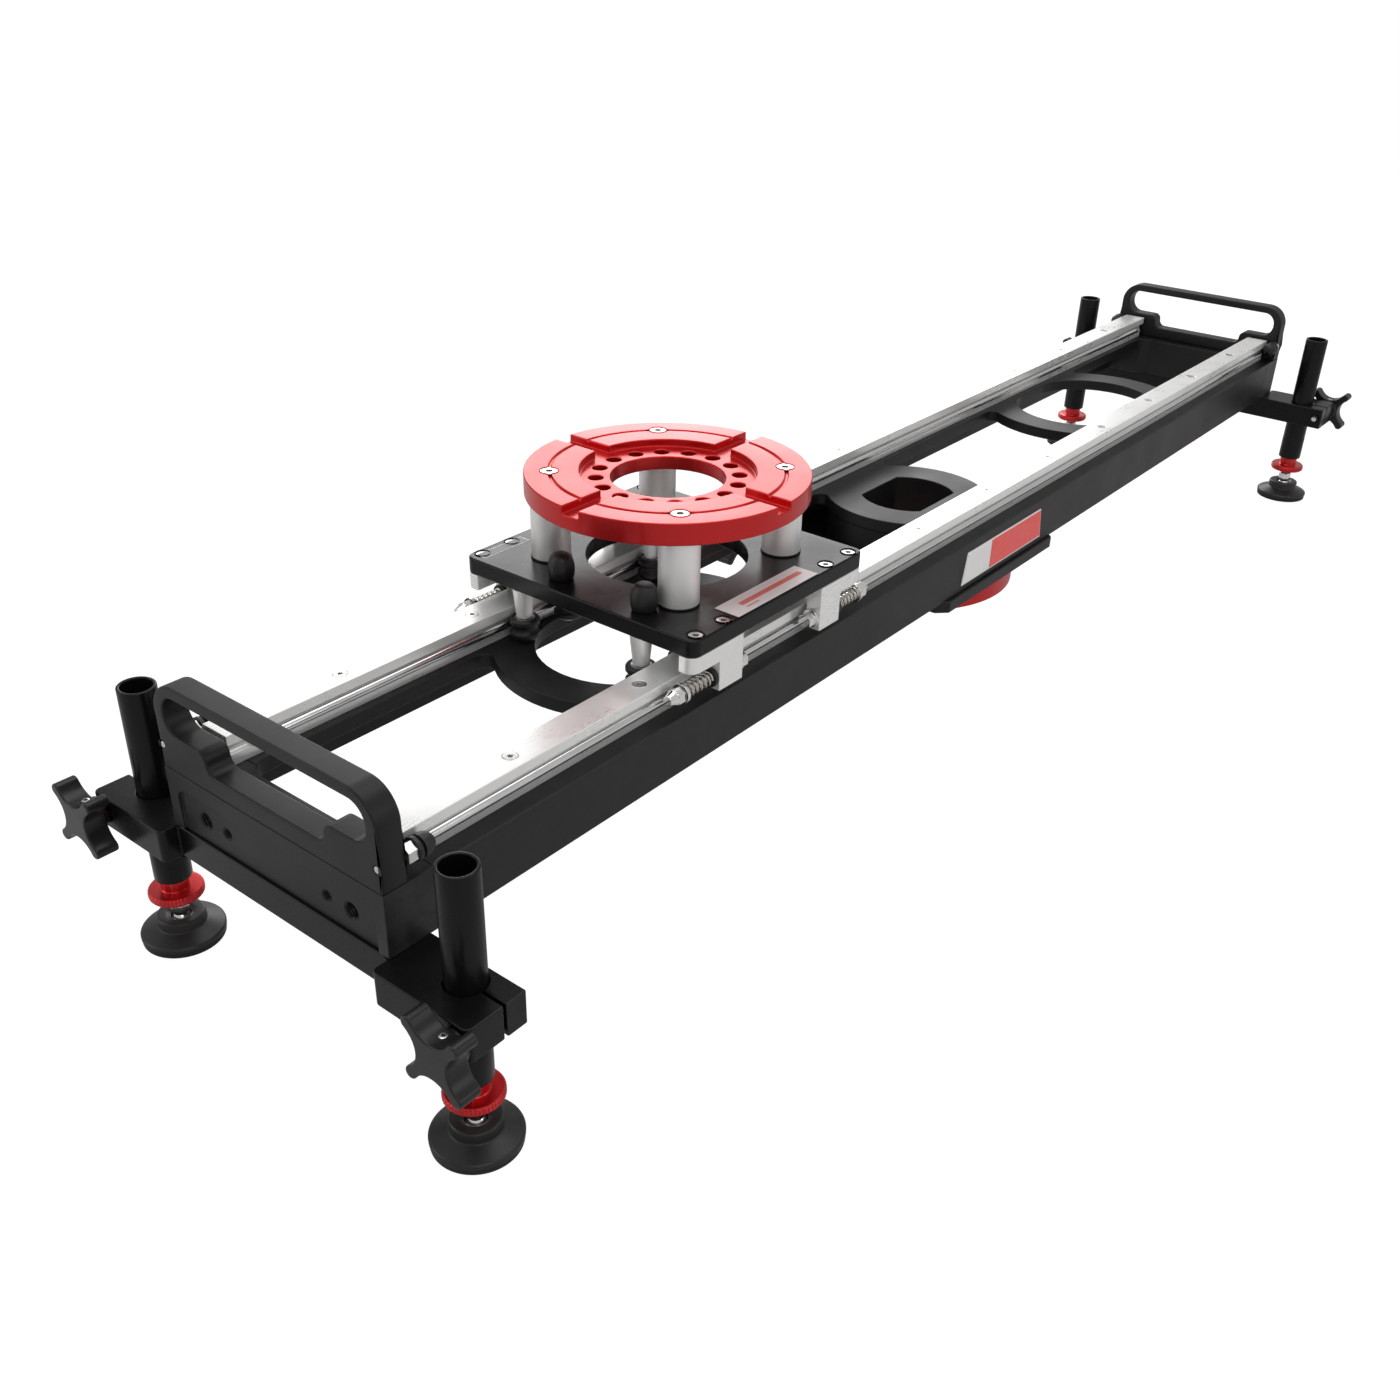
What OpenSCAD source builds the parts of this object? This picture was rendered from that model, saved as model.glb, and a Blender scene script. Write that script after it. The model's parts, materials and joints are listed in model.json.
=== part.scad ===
// Four-foot camera slider: channel deck on four adjustable legs, with a roller carriage between two rails.
// X runs along the travel, Z is up, and the origin is on the floor under the middle of the deck.

/* [Deck] */
// Length of the channel deck between the end blocks
deck_l = 1180; // [1100:10:1300]
// Width over the side walls
deck_w = 178; // [176:1:180]
// Height of the side walls
deck_h = 38; // [36:1:42]
// Thickness of the deck plate
deck_t = 9.5; // [8:0.5:12]
// Thickness of the side walls
wall_t = 4; // [3:0.5:6]
// Width of the openings in the deck plate
open_w = 111; // [106:1:112]
// Height of the deck's underside above the floor
deck_z = 105; // [105:1:125]

/* [Hand holes] */
// Distance from the middle to the inner end centre of a hand hole
grip_near = 309.5; // [300:0.5:315]
// Distance from the middle to the outer end centre of a hand hole
grip_far = 350.5; // [345:0.5:360]
// Width of the grip around a hand hole
grip_w = 27; // [22:1:30]
// Radius of the hub plate in the middle
hub_r = 66; // [60:1:70]

/* [Rails] */
// Distance between the rail centre lines
rail_pitch = 138; // [136:1:138]
// Length of each rail
rail_l = 1204; // [1200:1:1208]
// Width of the rail's flat top
rail_w = 21; // [19:1:21]
// Height of the rail
rail_h = 21; // [20:1:22]
// Radius of the steel guide rods
rod_r = 3; // [2.5:0.5:3]
// Spacing of the rail screws
screw_pitch = 103.5; // [100:0.5:108]

/* [Ends] */
// Depth of an end block along the slider
block_d = 32.4; // [30:0.1:35]
// Thickness of an end handle along the slider
handle_t = 15.6; // [12:0.1:16]
// Height of an end handle above its block
handle_h = 54.5; // [50:0.5:60]
// Height of the bumpers and buffers above the deck
buffer_h = 14.5; // [14:0.5:15]
// Distance of the buffers from the centre plane
buffer_y = 87; // [87:0.1:87.4]

/* [Legs] */
// Distance of the legs from the middle, along the slider
leg_x = 609; // [608:0.5:610]
// Distance of the legs from the middle, across the slider
leg_y = 128; // [126:0.5:130]
// Outer radius of the leg tubes
tube_r = 11; // [10:0.5:11]
// Height of the leg tubes' top ends above the floor
tube_top = 173; // [160:1:190]
// Thickness of the outrigger bars
outrigger_t = 20.5; // [18:0.5:24]
// Radius of the feet
foot_r = 25; // [22:1:30]
// Radius of the clamp knobs
knob_r = 25; // [22:1:28]

/* [Carriage] */
// Where the carriage stands along the slider
carriage_x = -306.5; // [-480:0.5:480]
// Length of the carriage plate along the slider
plate_l = 178; // [176:1:182]
// Width of the carriage plate
plate_w = 187; // [186:1:190]
// Thickness of the carriage plate
plate_t = 11; // [9:0.5:12]
// Height of the carriage plate's underside above the deck's top
plate_h = 36.7; // [36.5:0.1:38]
// Radius of the hole through the carriage plate
plate_hole_r = 52; // [45:1:55]
// Height of the posts between the carriage plate and the top mount
post_h = 42.9; // [38:0.1:60]

/* [Camera mounts] */
// Radius of the round mounts
mount_r = 90; // [88:1:92]
// Thickness of the top mount
mount_t = 14; // [12:0.5:16]
// Radius of the mounts' middle bore
mount_bore_r = 36.2; // [34:0.1:38]
// Radius of the recess in the top mount
mount_recess_r = 55.6; // [54:0.1:57]
// Depth of the recess and of the keyways
mount_recess_d = 5; // [4:0.5:7]
// Diameter of the circle of holes
mount_pcd = 90.5; // [90:0.1:92]
// Number of holes on the circle
mount_holes = 16; // [8:1:18]

/* [Hidden] */
$fn = 96;

deck_top = deck_z + deck_h;
deck_low = deck_top - deck_t;
deck_hl = deck_l / 2;
half_w = deck_w / 2;
open_hw = open_w / 2;
open_end = deck_hl + 4.8;
open_corner_r = 14;
grip_r = open_hw + grip_w;
fillet_r = 6;
hub_bore_r = 38;
hub_flat = 27;

bumper_y = buffer_y - 0.5;
bumper_r = 6.7;
bumper_stud_r = 2;

face_x = deck_hl + block_d;
handle_x = face_x - handle_t;
handle_top = deck_top + handle_h;
buffer_z = deck_top + buffer_h;

rail_y = rail_pitch / 2;
rail_top = deck_top + rail_h;
rail_neck = 16;
rail_cap_t = 6.5;
rod_off = 9.4;
rod_z = deck_top + 10;
rod_l = rail_l - 34;
rail_screws_n = 11;
rail_screw_head = 4.2;
rail_screw_r = 2;

base_t = 9.5;
base_l = 184;
base_w = 184;
base_z = deck_z - base_t;
base_screw_r = 52;
low_screw_r = 68;
low_mount_t = 14.5;
low_mount_z = base_z - low_mount_t;
lock_x = -82;
lock_z = base_z + base_t / 2;

outrigger_z = deck_z - outrigger_t;
outrigger_in = leg_x - tube_r - 3;
outrigger_out = face_x + 11;
outrigger_y = leg_y + 26.5;
clamp_y = leg_y + 19.7;
clamp_z = outrigger_z + outrigger_t / 2;
clamp_bolt_r = 4;
clamp_slot = 2;
running = 0.05;
knob_t = 13.5;
knob_neck = 3;
knob_tip_r = 3.6;
knob_waist = 10.5;

tube_bottom = 44.7;
stud_r = 6.2;
nut_low = 31;
nut_flange_t = 5.7;
nut_flange_r = 16.5;
nut_hub_r = 8.4;
nut_notches = 20;
ball_r = 7;
ball_z = 11.5;
collar_r = 14.2;
collar_top = 17.5;
pad_t = 3;

plate_z = deck_top + plate_h;
plate_top = plate_z + plate_t;
plate_hl = plate_l / 2;
plate_hw = plate_w / 2;
plate_corner_r = 7;
post_pos = 52.3;
post_r = 12.6;
mount_z = plate_top + post_h;
mount_top = mount_z + mount_t;
mount_hole_r = 4.75;
key_w = 12.7;

leg_in = 41;
leg_out = 63.5;
bracket_in = buffer_y - 4.5;
bracket_bar_h = 10.5;
bracket_foot = deck_top + 6.5;
plate_screw_x = [53.2, 79.2];
plate_screw_r = 2.5;

roller_x = [42, 82];
roller_y = 48.5;
roller_r = 9.6;
roller_t = 14;
roller_bolt_r = 3;
roller_bearing_r = 6.5;
roller_low = rod_z - roller_t / 2;
roller_gap = 0.3;

bolt_r = 3;
spring_low = leg_out + 3;
spring_high = 90;
spring_r = 4.6;
spring_wire = 1.2;
spring_turns = 6;
bolt_tip = 104;

end_names = ["left", "right"];
side_names = ["front", "rear"];
sides = [-1, 1];

// ---- Small shapes used by several parts

module rounded_square(x0, x1, y0, y1, r) {
    translate([x0 + r, y0]) square([x1 - x0 - 2 * r, y1 - y0]);
    translate([x0, y0 + r]) square([x1 - x0, y1 - y0 - 2 * r]);
    for (x = [x0 + r, x1 - r], y = [y0 + r, y1 - r])
        translate([x, y]) circle(r = r);
}

module along_x(x, y, z) {
    translate([x, y, z]) rotate([0, 90, 0]) children();
}

// A countersunk socket screw whose head is flush with z = 0 and whose shank points down.
module countersunk_screw(head_r, shank_r, length) {
    cone_h = head_r - shank_r;
    difference() {
        union() {
            translate([0, 0, -0.4]) cylinder(r = head_r, h = 0.4);
            translate([0, 0, -0.4 - cone_h]) cylinder(r1 = shank_r, r2 = head_r, h = cone_h);
            translate([0, 0, -length]) cylinder(r = shank_r, h = length - cone_h);
        }
        translate([0, 0, -shank_r * 1.1]) cylinder(r = shank_r * 0.8, h = shank_r * 2, $fn = 6);
    }
}

// The hole that a countersunk screw fills, with a little room around the shank.
module countersunk_hole(head_r, shank_r, length) {
    cone_h = head_r - shank_r;
    translate([0, 0, -0.4]) cylinder(r = head_r + 0.2, h = 1.4);
    translate([0, 0, -0.4 - cone_h]) cylinder(r1 = shank_r + 0.2, r2 = head_r + 0.2, h = cone_h);
    translate([0, 0, -length - 0.5]) cylinder(r = shank_r + 0.1, h = length + 0.5 - cone_h);
}

// A socket cap screw that stands on z = 0 with its shank pointing up.
module cap_screw(head_r, head_h, shank_r, length) {
    difference() {
        union() {
            translate([0, 0, -head_h]) cylinder(r = head_r, h = head_h);
            cylinder(r = shank_r, h = length);
        }
        translate([0, 0, -head_h - 1]) cylinder(r = shank_r * 0.85, h = 1 + head_h * 0.6, $fn = 6);
    }
}

// The outline of a four-armed knob: round arm tips joined by hollow arcs.
module knob_plan() {
    tip_at = (knob_r - knob_tip_r) / sqrt(2);
    inset = knob_waist - knob_tip_r;
    dish_at = (2 * tip_at * tip_at - inset * inset) / (2 * (tip_at - inset));
    dish_r = dish_at - knob_waist;
    share = dish_r / (dish_r + knob_tip_r);
    touch_x = dish_at + (tip_at - dish_at) * share;
    touch_y = tip_at * share;
    difference() {
        polygon([
            [touch_x, touch_y], [touch_y, touch_x], [-touch_y, touch_x], [-touch_x, touch_y],
            [-touch_x, -touch_y], [-touch_y, -touch_x], [touch_y, -touch_x], [touch_x, -touch_y]
        ]);
        for (a = [0 : 90 : 270]) rotate(a) translate([dish_at, 0]) circle(r = dish_r);
    }
    for (a = [45 : 90 : 315]) rotate(a) translate([knob_r - knob_tip_r, 0]) circle(r = knob_tip_r);
}

// The knob's back is on z = 0 and its face at z = knob_neck + knob_t.
module star_knob() {
    cylinder(r = 9, h = knob_neck);
    translate([0, 0, knob_neck]) linear_extrude(knob_t) knob_plan();
}

// ---- Deck

// Fills the sharp corner between an opening's wall and a round edge, leaving a fillet.
module corner_fill(centre_x, edge_r) {
    run = sqrt(pow(edge_r + fillet_r, 2) - pow(open_hw - fillet_r, 2));
    cut = sqrt(pow(edge_r, 2) - pow(open_hw, 2));
    touch = (edge_r - 0.2) / (edge_r + fillet_r);
    difference() {
        polygon([
            [centre_x + cut - 3, open_hw + 1], [centre_x + run, open_hw + 1], [centre_x + run, open_hw],
            [centre_x + run * touch, (open_hw - fillet_r) * touch], [centre_x + cut - 3, open_hw - 4]
        ]);
        translate([centre_x + run, open_hw - fillet_r]) circle(r = fillet_r + 0.02);
    }
}

// One half of the deck's openings: a hand hole inside its grip, and the gaps on both sides of it.
module half_openings() {
    difference() {
        union() {
            difference() {
                translate([0, -open_hw]) square([grip_near, open_w]);
                circle(r = hub_r);
                translate([grip_near, 0]) circle(r = grip_r);
            }
            difference() {
                rounded_square(grip_far, open_end, -open_hw, open_hw, open_corner_r);
                translate([grip_far, 0]) circle(r = grip_r);
            }
        }
        for (s = [0, 1]) mirror([0, s]) {
            corner_fill(0, hub_r);
            corner_fill(grip_far, grip_r);
            translate([grip_near, 0]) mirror([1, 0]) corner_fill(0, grip_r);
        }
    }
    translate([grip_near, 0]) circle(r = open_hw);
    translate([grip_far, 0]) circle(r = open_hw);
    translate([grip_near, -open_hw]) square([grip_far - grip_near, open_w]);
}

module both_halves() {
    children();
    mirror([1, 0]) children();
}

module hub_bore_shape() {
    intersection() {
        circle(r = hub_bore_r);
        square([4 * hub_bore_r, 2 * hub_flat], center = true);
    }
}

module rail_screw_places() {
    for (s = sides, i = [0 : rail_screws_n - 1])
        translate([(i - (rail_screws_n - 1) / 2) * screw_pitch, s * rail_y, rail_top]) children();
}

module base_screw_places() {
    for (a = [45 : 90 : 315])
        rotate(a) translate([base_screw_r, 0, base_z]) children();
}

module low_screw_places() {
    for (a = [45 : 90 : 315])
        rotate(a) translate([low_screw_r, 0, 0]) children();
}

module deck() {
    color("#1c1c1d") difference() {
        translate([0, 0, deck_low]) linear_extrude(deck_t) difference() {
            square([deck_l, deck_w - 2 * wall_t], center = true);
            both_halves() half_openings();
            hub_bore_shape();
        }
        rail_screw_places() translate([0, 0, -rail_h - deck_t - 1]) cylinder(r = rail_screw_r + 0.1, h = deck_t + 2);
    }
}

// The channel's two side walls, and the boss that joins the deck to the base plate.
module deck_walls() {
    color("#1a1a1b") {
        for (s = sides)
            translate([-deck_hl, s * (half_w - wall_t / 2) - wall_t / 2, deck_z]) cube([deck_l, wall_t, deck_h]);
        difference() {
            translate([0, 0, deck_z]) cylinder(r = hub_r - 1, h = deck_h - deck_t);
            translate([0, 0, deck_z - 1]) linear_extrude(deck_h) hub_bore_shape();
            base_screw_places() translate([0, 0, base_t - 1]) cylinder(r = 3.1, h = 18);
        }
    }
}

// ---- End blocks and handles

module end_block(s) {
    color("#1b1b1c") difference() {
        translate([0, 0, deck_z]) linear_extrude(deck_h) difference() {
            translate([s * (deck_hl + block_d / 2), 0]) square([block_d, deck_w], center = true);
            both_halves() half_openings();
        }
        translate([s * (face_x + 3), 0, deck_z - 10]) rotate([90, 0, 90])
            translate([0, 0, -5]) linear_extrude(10) rounded_square(-81, 81, 0, 37.5, 8);
        for (t = sides) {
            along_x(s * (face_x - 12), t * 60, deck_z + 14) cylinder(r = 4.76, h = 24, center = true);
            along_x(s * (face_x - 10), t * 41, deck_z + 14) cylinder(r = 3.175, h = 20, center = true);
            translate([s * (face_x - 14), t * 20, deck_z - 1]) cylinder(r = 4.1, h = 23);
            translate([s * (face_x - handle_t / 2), t * 60, deck_top - 9]) cylinder(r = 3.1, h = 10);
        }
    }
}

module end_block_left() {
    end_block(-1);
}

module end_block_right() {
    end_block(1);
}

// The handle's window: two shoulders over the rail ends and a lower middle between them.
module handle_window() {
    shoulder = 24;
    middle = 11.5;
    top = handle_h - 7;
    half = half_w - 8.3;
    step_r = (shoulder - middle) / 2;
    in_y = 41;
    rounded_square(-half, half, shoulder, top, 11);
    translate([-in_y, middle]) square([2 * in_y, top - 2 * middle]);
    for (t = [0, 1]) mirror([t, 0]) difference() {
        translate([in_y - 1, middle + step_r]) square([1 + 2 * step_r, step_r + 8]);
        translate([in_y + 2 * step_r, middle + step_r]) circle(r = step_r);
    }
    for (t = sides)
        translate([t * (in_y), middle + step_r]) circle(r = step_r);
}

module handle(s) {
    color("#171718") difference() {
        translate([s * (handle_x + handle_t / 2), 0, deck_top]) rotate([90, 0, 90])
            linear_extrude(handle_t, center = true) difference() {
                union() {
                    rounded_square(-half_w, half_w, handle_h - 45, handle_h, 19);
                    translate([-half_w, 0]) square([deck_w, handle_h - 20]);
                }
                handle_window();
            }
        for (t = sides)
            along_x(s * (face_x - handle_t / 2), t * bumper_y, buffer_z)
                cylinder(r = bumper_stud_r + 0.1, h = handle_t + 2, center = true);
        for (t = sides)
            translate([s * (face_x - handle_t / 2), t * 60, deck_top - 1]) cylinder(r = 3.1, h = 13);
    }
}

module handle_left() {
    handle(-1);
}

module handle_right() {
    handle(1);
}

// ---- Rails

module rail(s) {
    color("#dcdcda") difference() {
        translate([-rail_l / 2, s * rail_y, deck_top]) rotate([90, 0, 90]) linear_extrude(rail_l) difference() {
            union() {
                translate([-rail_neck / 2, 0]) square([rail_neck, rail_h]);
                translate([-rail_w / 2, rail_h - rail_cap_t]) square([rail_w, rail_cap_t]);
            }
            for (t = sides)
                translate([t * rod_off, rod_z - deck_top]) circle(r = rod_r);
        }
        for (i = [0 : rail_screws_n - 1])
            translate([(i - (rail_screws_n - 1) / 2) * screw_pitch, s * rail_y, rail_top])
                countersunk_hole(rail_screw_head, rail_screw_r, rail_h + 1);
    }
}

module rail_front() {
    rail(-1);
}

module rail_rear() {
    rail(1);
}

module guide_rods() {
    color("#e8e8e8") for (s = sides, t = sides)
        along_x(0, s * rail_y + t * rod_off, rod_z) cylinder(r = rod_r, h = rod_l, center = true);
}

// ---- Bumpers at the four rail ends

module bumper_places() {
    for (s = [0, 1], t = sides) mirror([s, 0, 0])
        along_x(-handle_x, t * bumper_y, buffer_z) children();
}

module bumper_studs() {
    color("#c4c0b6") bumper_places() {
        cylinder(r = 5.8, h = 6, $fn = 6);
        translate([0, 0, -handle_t]) cylinder(r = bumper_stud_r, h = handle_t + 12);
    }
}

module end_bumpers() {
    color("#202022") bumper_places() difference() {
        union() {
            translate([0, 0, 6]) cylinder(r = bumper_r, h = 6);
            translate([0, 0, 12.5]) sphere(r = bumper_r);
        }
        translate([0, 0, -5]) cylinder(r = 20, h = 11);
        cylinder(r = bumper_stud_r + 0.05, h = 12.5);
    }
}

// ---- Outriggers: a flat bar under each end block with a split clamp for a leg at each end

module outrigger_plan() {
    translate([outrigger_in, -outrigger_y]) square([face_x - outrigger_in, 2 * outrigger_y - 4]);
    for (t = [0, 1]) mirror([0, t]) {
        rounded_square(outrigger_in, outrigger_out, face_x - outrigger_in + 60, outrigger_y, 4);
        translate([outrigger_in, 88]) square([face_x - outrigger_in, 30]);
        translate([face_x, 99]) circle(r = outrigger_out - face_x);
        translate([face_x, 99]) square([outrigger_out - face_x, 30]);
    }
}

module outrigger_right() {
    color("#1e1d1e") difference() {
        translate([0, 0, outrigger_z]) linear_extrude(outrigger_t) intersection() {
            outrigger_plan();
            translate([outrigger_in, -outrigger_y]) square([60, 2 * outrigger_y]);
        }
        for (t = sides) {
            translate([leg_x, t * leg_y, outrigger_z - 1]) cylinder(r = tube_r + running, h = outrigger_t + 2);
            translate([leg_x - clamp_slot / 2, t * (leg_y + 20) - 20, outrigger_z - 1])
                cube([clamp_slot, 40, outrigger_t + 2]);
            along_x(leg_x, t * clamp_y, clamp_z) cylinder(r = clamp_bolt_r + running, h = 80, center = true);
            translate([face_x - 14, t * 20, outrigger_z - 1]) cylinder(r = 4.1, h = outrigger_t + 2);
            translate([face_x - 14, t * 20, outrigger_z - 1]) cylinder(r = 6.7, h = 9.5);
        }
    }
}

module outrigger_left() {
    mirror([1, 0, 0]) outrigger_right();
}

// ---- Base plate and lower mount under the middle

module base_plate() {
    color("#1d1d1e") difference() {
        translate([0, 0, base_z]) linear_extrude(base_t) difference() {
            square([base_l, base_w], center = true);
            for (i = sides, j = sides)
                translate([i * base_l / 2, j * base_w / 2]) rotate(45) square(11.5, center = true);
            circle(r = mount_bore_r);
        }
        base_screw_places() translate([0, 0, -1]) cylinder(r = 3.1, h = base_t + 2);
        low_screw_places() translate([0, 0, base_z - 1]) cylinder(r = 3.1, h = base_t);
        translate([lock_x, base_w / 2, lock_z]) rotate([90, 0, 0])
            translate([0, 0, -1]) cylinder(r = 3 + running, h = 21);
    }
}

module mount_hole_places() {
    for (i = [0 : mount_holes - 1])
        rotate(i * 360 / mount_holes) translate([mount_pcd / 2, 0]) children();
}

module lower_mount() {
    color("#d5181f") difference() {
        translate([0, 0, low_mount_z]) cylinder(r = mount_r, h = low_mount_t);
        translate([0, 0, low_mount_z - 1]) cylinder(r = mount_bore_r, h = low_mount_t + 2);
        translate([0, 0, low_mount_z - 1]) linear_extrude(low_mount_t + 2)
            rotate(180 / mount_holes) mount_hole_places() circle(r = mount_hole_r);
        low_screw_places() translate([0, 0, low_mount_z - 1]) {
            cylinder(r = 3.1, h = low_mount_t + 2);
            cylinder(r = 5.2, h = 7);
        }
        base_screw_places() translate([0, 0, -7]) cylinder(r = 5.4, h = 8);
    }
}

// Every screw of the fixed frame: rails, outriggers, base plate, lower mount and handles.
module frame_screws() {
    color("#c8c8c8") {
        rail_screw_places() countersunk_screw(rail_screw_head, rail_screw_r, rail_h + 7);
        for (s = sides, t = sides) {
            translate([s * (face_x - 14), t * 20, outrigger_z + 8.5]) cap_screw(6.5, 8, 4, 32);
            translate([s * (face_x - handle_t / 2), t * 60, deck_top - 8]) cylinder(r = 3, h = 19);
        }
        base_screw_places() cap_screw(5.1, 6, 3, 24);
        low_screw_places() translate([0, 0, low_mount_z + 6]) cap_screw(5, 5.5, 3, 16);
    }
}

module side_badge() {
    badge_l = 125;
    badge_h = 25.5;
    slant = 2.5;
    color("#cf2a27") translate([0, -half_w, deck_z + 5.5]) rotate([90, 0, 0]) linear_extrude(0.8)
        polygon([
            [-badge_l / 2 - slant, 0], [badge_l / 2 + slant, 0],
            [badge_l / 2 - slant, badge_h], [-badge_l / 2 + slant, badge_h]
        ]);
}

module lock_knob() {
    color("#141414") translate([lock_x, base_w / 2 + 8, lock_z]) rotate([-90, 0, 0]) {
        star_knob();
        translate([0, 0, -24]) cylinder(r = 3, h = 25);
    }
}

// ---- Legs, each built at its corner: s picks the end, t picks the side

module leg_tube(s, t) {
    color("#1a1a1b") translate([s * leg_x, t * leg_y, 0]) difference() {
        translate([0, 0, tube_bottom]) cylinder(r = tube_r, h = tube_top - tube_bottom);
        translate([0, 0, tube_bottom - 1]) cylinder(r = stud_r + running, h = 40);
        translate([0, 0, tube_bottom + 20]) cylinder(r = tube_r - 2.2, h = tube_top);
    }
}

module clamp_knob(s, t) {
    gap = 0.5;
    bolt_l = outrigger_out - outrigger_in + 3;
    color("#121212") translate([s * (outrigger_out + gap), t * clamp_y, clamp_z]) rotate([0, s * 90, 0]) {
        star_knob();
        translate([0, 0, -bolt_l]) cylinder(r = clamp_bolt_r, h = bolt_l + 1);
    }
}

module levelling_nut(s, t) {
    color("#d81c20") translate([s * leg_x, t * leg_y, nut_low]) difference() {
        union() {
            cylinder(r = nut_flange_r, h = nut_flange_t);
            cylinder(r = nut_hub_r, h = tube_bottom - nut_low - 0.3);
        }
        translate([0, 0, -1]) cylinder(r = stud_r + running, h = 40);
        for (i = [0 : nut_notches - 1])
            rotate(i * 360 / nut_notches) translate([nut_flange_r + 0.7, 0, -1]) cylinder(r = 1.4, h = 10);
    }
}

module foot_stud(s, t) {
    color("#e0e0e0") translate([s * leg_x, t * leg_y, 0]) {
        translate([0, 0, ball_z]) sphere(r = ball_r);
        translate([0, 0, ball_z]) cylinder(r = 4.5, h = 9);
        translate([0, 0, ball_z + 7.7]) cylinder(r = stud_r, h = 7, $fn = 6);
        translate([0, 0, ball_z + 13.7]) cylinder(r = stud_r, h = 50);
    }
}

module foot(s, t) {
    color("#1b1b1b") translate([s * leg_x, t * leg_y, 0]) difference() {
        rotate_extrude() polygon([
            [0, pad_t], [foot_r, pad_t], [foot_r, pad_t + 3], [collar_r + 1, 10.5],
            [collar_r, 11], [collar_r, collar_top], [0, collar_top]
        ]);
        translate([0, 0, ball_z]) sphere(r = ball_r + running);
        translate([0, 0, ball_z + 4]) cylinder(r1 = 5.85, r2 = 8.1, h = collar_top - ball_z - 3);
    }
    color("#111111") translate([s * leg_x, t * leg_y, 0]) cylinder(r = foot_r - 0.6, h = pad_t);
}

// ---- Carriage, drawn about its own middle

module at_carriage() {
    translate([carriage_x, 0, 0]) children();
}

module corners() {
    for (s = sides, t = sides) translate([s * post_pos, t * post_pos, 0]) children();
}

module plate_screw_places() {
    for (s = sides, t = sides, x = plate_screw_x)
        translate([s * x, t * buffer_y, plate_top]) children();
}

module roller_places() {
    for (s = sides, t = sides, x = roller_x) translate([s * x, t * roller_y, 0]) children();
}

module carriage_plate() {
    color("#262425") at_carriage() difference() {
        translate([0, 0, plate_z]) linear_extrude(plate_t) difference() {
            rounded_square(-plate_hl, plate_hl, -plate_hw, plate_hw, plate_corner_r);
            circle(r = plate_hole_r);
        }
        corners() translate([0, 0, plate_z]) mirror([0, 0, 1]) countersunk_hole(6.5, 4, plate_t + 1);
        plate_screw_places() countersunk_hole(4.6, plate_screw_r, plate_t + 1);
        roller_places() translate([0, 0, plate_z - 1]) cylinder(r = roller_bolt_r, h = 8);
    }
}

module bracket_blocks() {
    color("#c9c8c4") at_carriage() for (s = [0, 1], t = [0, 1]) mirror([s, 0, 0]) mirror([0, t, 0]) difference() {
        union() {
            translate([0, 0, plate_z - bracket_bar_h]) linear_extrude(bracket_bar_h) intersection() {
                rounded_square(-plate_hl, plate_hl, -plate_hw, plate_hw, plate_corner_r);
                translate([leg_in, bracket_in]) square([60, 20]);
            }
            translate([leg_in, bracket_in, bracket_foot])
                cube([leg_out - leg_in, plate_hw - bracket_in, plate_z - bracket_foot]);
        }
        along_x(0, buffer_y, buffer_z) cylinder(r = bolt_r + running, h = 200);
        for (x = plate_screw_x)
            translate([x, buffer_y, plate_z - 8]) cylinder(r = plate_screw_r + 0.1, h = 9);
    }
}

module riser_posts() {
    color("#d9d8d3") at_carriage() corners() difference() {
        translate([0, 0, plate_top]) cylinder(r = post_r, h = post_h);
        translate([0, 0, plate_top - 1]) cylinder(r = 4.1, h = 16);
        translate([0, 0, mount_z - 14]) cylinder(r = 3.1, h = 16);
    }
}

module top_mount() {
    color("#e02227") at_carriage() difference() {
        translate([0, 0, mount_z]) cylinder(r = mount_r, h = mount_t, $fn = 160);
        translate([0, 0, mount_z - 1]) cylinder(r = mount_bore_r, h = mount_t + 2);
        translate([0, 0, mount_top - mount_recess_d]) cylinder(r = mount_recess_r, h = mount_t);
        translate([0, 0, mount_z - 1]) linear_extrude(mount_t + 2) mount_hole_places() circle(r = mount_hole_r);
        for (a = [0, 90])
            rotate(a) translate([-100, -key_w / 2, mount_top - mount_recess_d]) cube([200, key_w, mount_t]);
        translate([0, 0, mount_top - 1.5]) difference() {
            cylinder(r = post_pos * sqrt(2) + 1, h = 3);
            translate([0, 0, -1]) cylinder(r = post_pos * sqrt(2) - 1, h = 5);
        }
        corners() translate([0, 0, mount_top]) countersunk_hole(5.6, 3, mount_t);
    }
}

module carriage_screws() {
    color("#d0d0d0") at_carriage() {
        corners() translate([0, 0, mount_top]) countersunk_screw(5.6, 3, mount_t + 12);
        corners() translate([0, 0, plate_z]) mirror([0, 0, 1]) countersunk_screw(6.5, 4, plate_t + 13);
        plate_screw_places() countersunk_screw(4.6, plate_screw_r, plate_t + 7);
    }
}

module rest_domes() {
    dome_r = 8.5;
    dome_gap = 67;
    color("#151516") at_carriage() for (t = sides) translate([-73, t * dome_gap / 2 - 9.5, plate_top]) {
        cylinder(r = dome_r, h = 8.5);
        translate([0, 0, 8.5]) difference() {
            sphere(r = dome_r);
            translate([0, 0, -dome_r]) cylinder(r = 2 * dome_r, h = dome_r);
        }
    }
}

module label_plate() {
    color("#c9bfc0") at_carriage() translate([-45, -92, plate_top]) cube([82, 18, 0.6]);
}

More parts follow.
